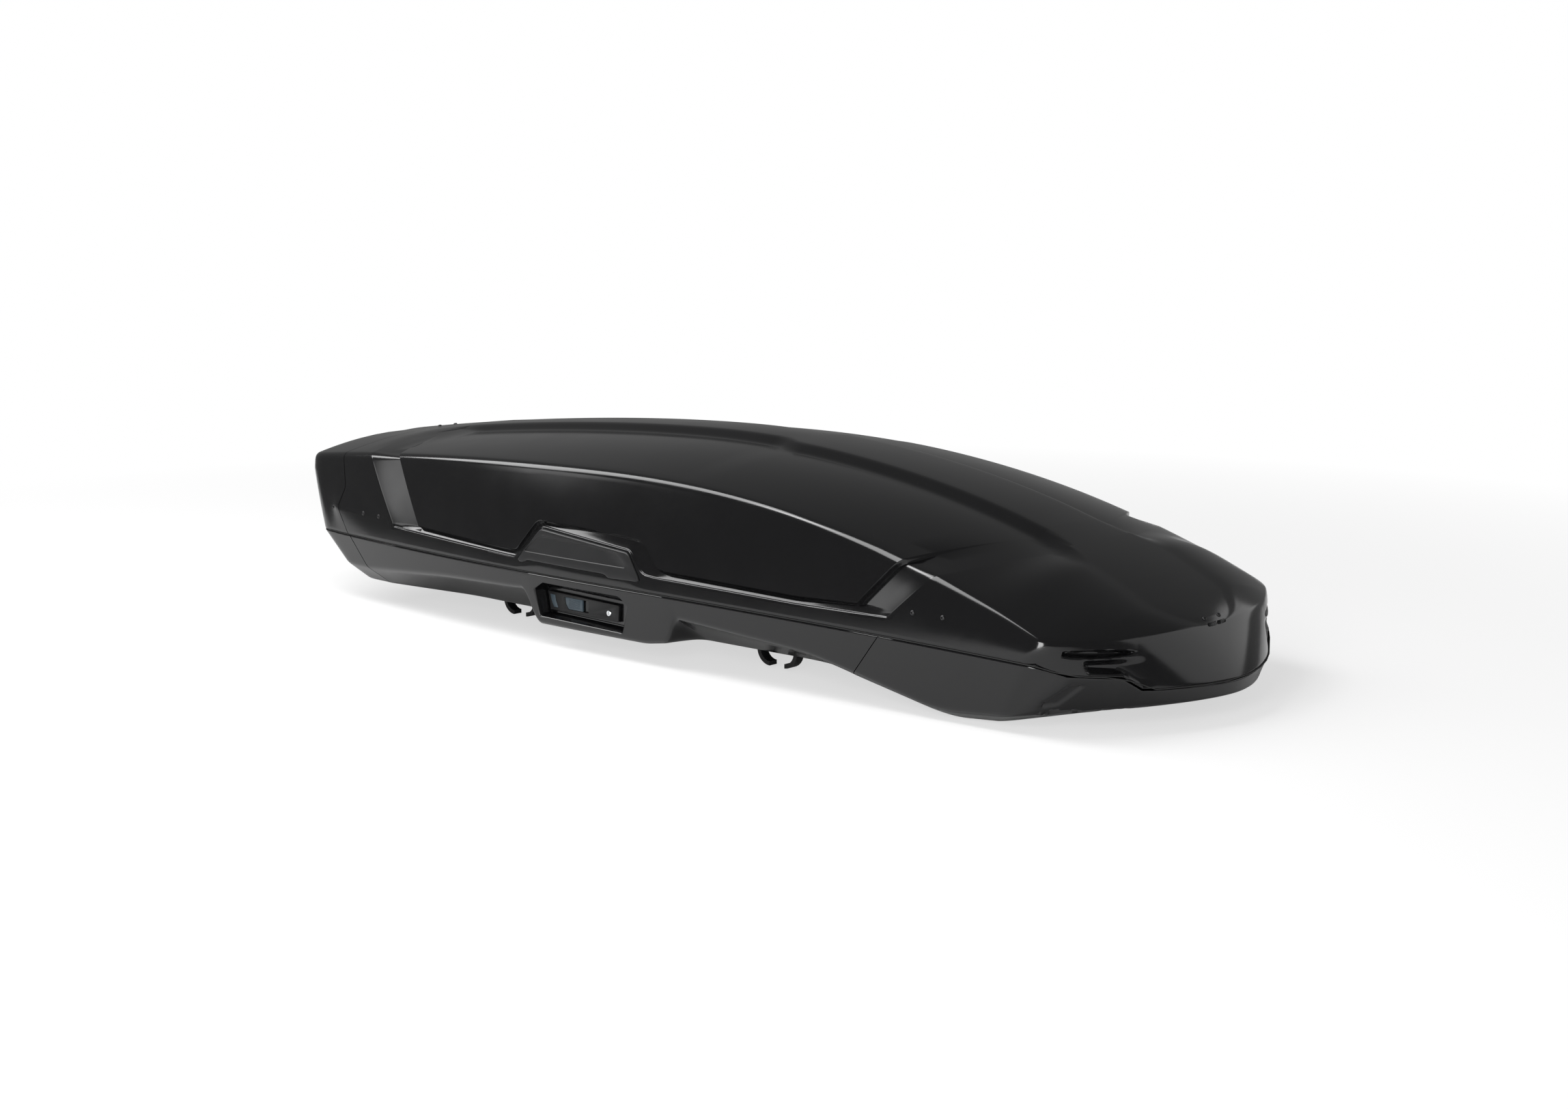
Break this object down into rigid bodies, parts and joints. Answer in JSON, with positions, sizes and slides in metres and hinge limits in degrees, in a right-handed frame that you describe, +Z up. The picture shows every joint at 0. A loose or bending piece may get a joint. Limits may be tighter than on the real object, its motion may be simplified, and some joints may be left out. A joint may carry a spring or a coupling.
{
  "type": "roof cargo box",
  "caption": "Long low roof cargo box: raised spine and side panels on the lid, grip trims, side locks, roof-bar claw clamps; the lid opens from either side.",
  "frame": {"origin": "middle of the bounding box in plan, on the plane through the lowest point of the nose", "axes": "+X from tail to nose, +Y to the vehicle's left, +Z up"},
  "size_m": [2.384, 0.9032, 0.4527],
  "materials": {
    "shell_plastic": "smooth black thermoformed plastic, glossy",
    "trim_plastic": "satin black moulded plastic",
    "steel": "zinc-plated sheet steel",
    "seal_rubber": "soft black rubber",
    "mat_foam": "dark grey ribbed foam mat",
    "lamp_white": "translucent white lamp cover",
    "window_plastic": "dark clear lock-status window",
    "slider_plastic": "dark slate ribbed plastic",
    "key_metal": "bright plated key cylinder",
    "lifter_paint": "black painted tube",
    "rod_chrome": "polished rod"
  },
  "bodies": {
    "base": {"rim_seal": "seal_rubber", "striker_rail_left": "steel", "base_shell": "shell_plastic", "base_rear_cap": "shell_plastic", "base_front_cap": "shell_plastic", "floor_mat": "mat_foam", "floor_rail_right": "steel", "floor_rail_left": "steel", "lock_bezel_right": "trim_plastic", "lock_bezel_left": "trim_plastic", "lock_plate_right": "trim_plastic", "lock_plate_left": "trim_plastic", "status_window_right": "window_plastic", "status_window_left": "window_plastic", "lock_channel_right": "steel", "lock_channel_left": "steel", "lifter_base_bracket_rear": "steel", "lifter_base_bracket_front": "steel", "clamp_body_rear_right": "trim_plastic", "clamp_body_rear_left": "trim_plastic", "clamp_body_front_right": "trim_plastic", "clamp_body_front_left": "trim_plastic"},
    "light_button_rear": {"light_button_rear": "trim_plastic"},
    "light_button_front": {"light_button_front": "trim_plastic"},
    "lock_slider_right": {"lock_slider_right": "slider_plastic"},
    "lock_rod_right": {"lock_rod_right": "steel"},
    "key_cylinder_right": {"key_cylinder_right": "key_metal"},
    "lock_slider_left": {"lock_slider_left": "slider_plastic"},
    "lock_rod_left": {"lock_rod_left": "steel"},
    "key_cylinder_left": {"key_cylinder_left": "key_metal"},
    "lifter_tube_rear": {"lifter_tube_rear": "lifter_paint"},
    "lifter_rod_rear": {"lifter_rod_rear": "rod_chrome"},
    "lifter_tube_front": {"lifter_tube_front": "lifter_paint"},
    "lifter_rod_front": {"lifter_rod_front": "rod_chrome"},
    "torque_knob_rear_right": {"torque_knob_rear_right": "trim_plastic"},
    "jaw_aft_rear_right": {"jaw_aft_rear_right": "trim_plastic"},
    "jaw_fore_rear_right": {"jaw_fore_rear_right": "trim_plastic"},
    "torque_knob_rear_left": {"torque_knob_rear_left": "trim_plastic"},
    "jaw_aft_rear_left": {"jaw_aft_rear_left": "trim_plastic"},
    "jaw_fore_rear_left": {"jaw_fore_rear_left": "trim_plastic"},
    "torque_knob_front_right": {"torque_knob_front_right": "trim_plastic"},
    "jaw_aft_front_right": {"jaw_aft_front_right": "trim_plastic"},
    "jaw_fore_front_right": {"jaw_fore_front_right": "trim_plastic"},
    "torque_knob_front_left": {"torque_knob_front_left": "trim_plastic"},
    "jaw_aft_front_left": {"jaw_aft_front_left": "trim_plastic"},
    "jaw_fore_front_left": {"jaw_fore_front_left": "trim_plastic"},
    "lid": {"lid_shell": "shell_plastic", "lid_rear_cap": "shell_plastic", "lid_stiffener_rear": "steel", "lid_stiffener_front": "steel", "grip_trim_right": "trim_plastic", "grip_trim_left": "trim_plastic", "lid_side_screws": "trim_plastic", "lid_top_screws": "trim_plastic", "lid_light_rear": "lamp_white", "lid_light_front": "lamp_white", "lifter_lid_bracket_rear": "steel", "lifter_lid_bracket_front": "steel"},
    "carrier": {"striker_rail_right": "steel"}
  },
  "joints": [
    {"name": "lid_open_right", "type": "hinge", "parent": "base", "child": "carrier", "pos_m": [0, 0.458, 0.1585], "axis": [-1, 0, 0], "range_deg": [0, 45]},
    {"name": "lid_open_left", "type": "hinge", "parent": "carrier", "child": "lid", "pos_m": [0, -0.458, 0.1585], "axis": [1, 0, 0], "range_deg": [0, 45]},
    {"name": "light_press_rear", "type": "slide", "parent": "lid", "child": "light_button_rear", "axis": [0, 0, 1], "range_m": [0, 0.002], "stiffness_N_per_m": 400},
    {"name": "light_press_front", "type": "slide", "parent": "lid", "child": "light_button_front", "axis": [0, 0, 1], "range_m": [0, 0.002], "stiffness_N_per_m": 400},
    {"name": "lock_slide_right", "type": "slide", "parent": "base", "child": "lock_slider_right", "axis": [1, 0, 0], "range_m": [0, 0.018]},
    {"name": "rod_slide_right", "type": "slide", "parent": "base", "child": "lock_rod_right", "axis": [1, 0, 0], "range_m": [0, 0.018]},
    {"name": "key_turn_right", "type": "hinge", "parent": "base", "child": "key_cylinder_right", "pos_m": [-0.065, -0.41, 0.092], "axis": [0, 1, 0], "range_deg": [0, 90]},
    {"name": "lock_slide_left", "type": "slide", "parent": "base", "child": "lock_slider_left", "axis": [1, 0, 0], "range_m": [0, 0.018]},
    {"name": "rod_slide_left", "type": "slide", "parent": "base", "child": "lock_rod_left", "axis": [1, 0, 0], "range_m": [0, 0.018]},
    {"name": "key_turn_left", "type": "hinge", "parent": "base", "child": "key_cylinder_left", "pos_m": [-0.065, 0.41, 0.092], "axis": [0, 1, 0], "range_deg": [0, 90]},
    {"name": "lifter_swing_rear", "type": "hinge", "parent": "base", "child": "lifter_tube_rear", "pos_m": [-0.65, 0.405, 0.132], "axis": [-1, 0, 0], "range_deg": [0, 46]},
    {"name": "lifter_stretch_rear", "type": "slide", "parent": "lifter_tube_rear", "child": "lifter_rod_rear", "axis": [0, -0.7262, 0.6875], "range_m": [0, 0.046]},
    {"name": "lifter_swing_front", "type": "hinge", "parent": "base", "child": "lifter_tube_front", "pos_m": [0.43, 0.405, 0.132], "axis": [-1, 0, 0], "range_deg": [0, 46]},
    {"name": "lifter_stretch_front", "type": "slide", "parent": "lifter_tube_front", "child": "lifter_rod_front", "axis": [0, -0.7262, 0.6875], "range_m": [0, 0.046]},
    {"name": "knob_turn_rear_right", "type": "hinge", "parent": "base", "child": "torque_knob_rear_right", "pos_m": [-0.485, -0.285, 0.11], "axis": [0, 0, 1], "range_deg": [0, 180]},
    {"name": "jaw_aft_open_rear_right", "type": "hinge", "parent": "base", "child": "jaw_aft_rear_right", "pos_m": [-0.53, -0.285, 0.07], "axis": [0, 1, 0], "range_deg": [0, 30]},
    {"name": "jaw_fore_open_rear_right", "type": "hinge", "parent": "base", "child": "jaw_fore_rear_right", "pos_m": [-0.44, -0.285, 0.07], "axis": [0, -1, 0], "range_deg": [0, 30]},
    {"name": "knob_turn_rear_left", "type": "hinge", "parent": "base", "child": "torque_knob_rear_left", "pos_m": [-0.485, 0.285, 0.11], "axis": [0, 0, 1], "range_deg": [0, 180]},
    {"name": "jaw_aft_open_rear_left", "type": "hinge", "parent": "base", "child": "jaw_aft_rear_left", "pos_m": [-0.53, 0.285, 0.07], "axis": [0, 1, 0], "range_deg": [0, 30]},
    {"name": "jaw_fore_open_rear_left", "type": "hinge", "parent": "base", "child": "jaw_fore_rear_left", "pos_m": [-0.44, 0.285, 0.07], "axis": [0, -1, 0], "range_deg": [0, 30]},
    {"name": "knob_turn_front_right", "type": "hinge", "parent": "base", "child": "torque_knob_front_right", "pos_m": [0.3, -0.285, 0.11], "axis": [0, 0, 1], "range_deg": [0, 180]},
    {"name": "jaw_aft_open_front_right", "type": "hinge", "parent": "base", "child": "jaw_aft_front_right", "pos_m": [0.255, -0.285, 0.07], "axis": [0, 1, 0], "range_deg": [0, 30]},
    {"name": "jaw_fore_open_front_right", "type": "hinge", "parent": "base", "child": "jaw_fore_front_right", "pos_m": [0.345, -0.285, 0.07], "axis": [0, -1, 0], "range_deg": [0, 30]},
    {"name": "knob_turn_front_left", "type": "hinge", "parent": "base", "child": "torque_knob_front_left", "pos_m": [0.3, 0.285, 0.11], "axis": [0, 0, 1], "range_deg": [0, 180]},
    {"name": "jaw_aft_open_front_left", "type": "hinge", "parent": "base", "child": "jaw_aft_front_left", "pos_m": [0.255, 0.285, 0.07], "axis": [0, 1, 0], "range_deg": [0, 30]},
    {"name": "jaw_fore_open_front_left", "type": "hinge", "parent": "base", "child": "jaw_fore_front_left", "pos_m": [0.345, 0.285, 0.07], "axis": [0, -1, 0], "range_deg": [0, 30]}
  ],
  "couplings": [
    {"joint": "rod_slide_right", "follows": "lock_slide_right", "ratio": 1},
    {"joint": "rod_slide_left", "follows": "lock_slide_left", "ratio": 1},
    {"joint": "lifter_swing_rear", "follows": "lid_open_right", "ratio": 0.9929},
    {"joint": "lifter_stretch_rear", "follows": "lid_open_right", "m_per_rad": 0.0577},
    {"joint": "lifter_swing_front", "follows": "lid_open_right", "ratio": 0.9929},
    {"joint": "lifter_stretch_front", "follows": "lid_open_right", "m_per_rad": 0.0577},
    {"joint": "jaw_aft_open_rear_right", "follows": "knob_turn_rear_right", "ratio": 0.16667},
    {"joint": "jaw_fore_open_rear_right", "follows": "knob_turn_rear_right", "ratio": 0.16667},
    {"joint": "jaw_aft_open_rear_left", "follows": "knob_turn_rear_left", "ratio": 0.16667},
    {"joint": "jaw_fore_open_rear_left", "follows": "knob_turn_rear_left", "ratio": 0.16667},
    {"joint": "jaw_aft_open_front_right", "follows": "knob_turn_front_right", "ratio": 0.16667},
    {"joint": "jaw_fore_open_front_right", "follows": "knob_turn_front_right", "ratio": 0.16667},
    {"joint": "jaw_aft_open_front_left", "follows": "knob_turn_front_left", "ratio": 0.16667},
    {"joint": "jaw_fore_open_front_left", "follows": "knob_turn_front_left", "ratio": 0.16667}
  ]
}
